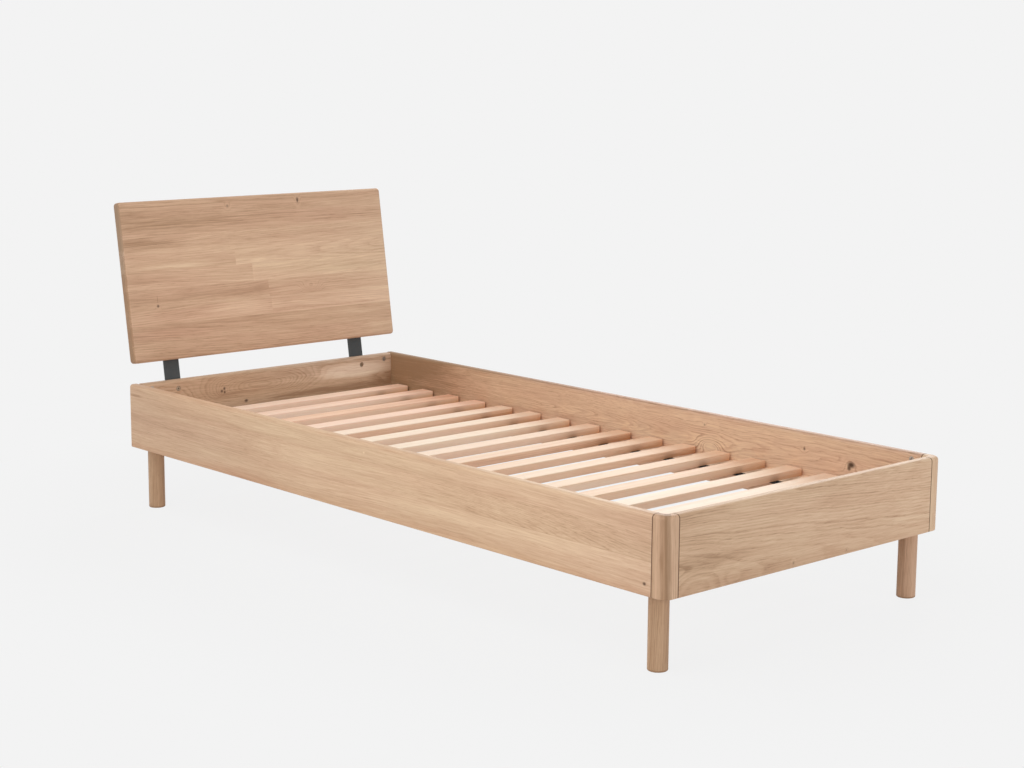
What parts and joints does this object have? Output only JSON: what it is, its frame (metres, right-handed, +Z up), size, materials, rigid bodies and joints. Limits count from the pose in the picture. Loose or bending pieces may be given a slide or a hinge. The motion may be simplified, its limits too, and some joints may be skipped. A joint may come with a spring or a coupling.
{
  "type": "bed frame",
  "caption": "Single oak bed frame with a leaning panel headboard on flat steel straps, rounded foot corners, round legs and a lift-out roll of pine slats.",
  "frame": {"origin": "on the floor, under the middle of the whole bed with its leaning headboard", "axes": "+X across the bed, +Y along it towards the headboard, +Z up"},
  "size_m": [0.96, 2.1848, 0.866],
  "materials": {
    "oak": "oiled, satin",
    "pine": "planed, bare",
    "strap_steel": "powder coat, matt",
    "zinc": "zinc plate, satin",
    "beech": "bare",
    "webbing": "woven tape"
  },
  "bodies": {
    "frame": {"foot_rail": "oak", "head_rail": "oak", "headboard": "oak", "side_rail_left": "oak", "side_rail_right": "oak", "corner_post_left": "oak", "corner_post_right": "oak", "leg_foot_left": "oak", "leg_foot_right": "oak", "leg_head_left": "oak", "leg_head_right": "oak", "ledger_left": "pine", "ledger_right": "pine", "corner_block_foot_left": "pine", "corner_block_foot_right": "pine", "corner_block_head_left": "pine", "corner_block_head_right": "pine", "headboard_strap_left": "strap_steel", "headboard_strap_right": "strap_steel", "strap_bolts": "strap_steel", "strap_washers": "strap_steel", "strap_nuts": "strap_steel", "headboard_screws": "strap_steel", "cam_locks": "zinc", "cam_bolts": "zinc", "leg_studs": "zinc", "leg_inserts": "zinc", "block_screws": "zinc", "ledger_screws": "zinc", "rail_dowels": "beech"},
    "slat_roll": {"slat_01": "pine", "slat_02": "pine", "slat_03": "pine", "slat_04": "pine", "slat_05": "pine", "slat_06": "pine", "slat_07": "pine", "slat_08": "pine", "slat_09": "pine", "slat_10": "pine", "slat_11": "pine", "slat_12": "pine", "slat_13": "pine", "slat_14": "pine", "slat_15": "pine", "slat_16": "pine", "slat_17": "pine", "webbing_left": "webbing", "webbing_right": "webbing"}
  },
  "joints": [
    {"name": "slat_lift", "type": "slide", "parent": "frame", "child": "slat_roll", "axis": [0, 0, 1], "range_m": [0, 0.15]}
  ]
}
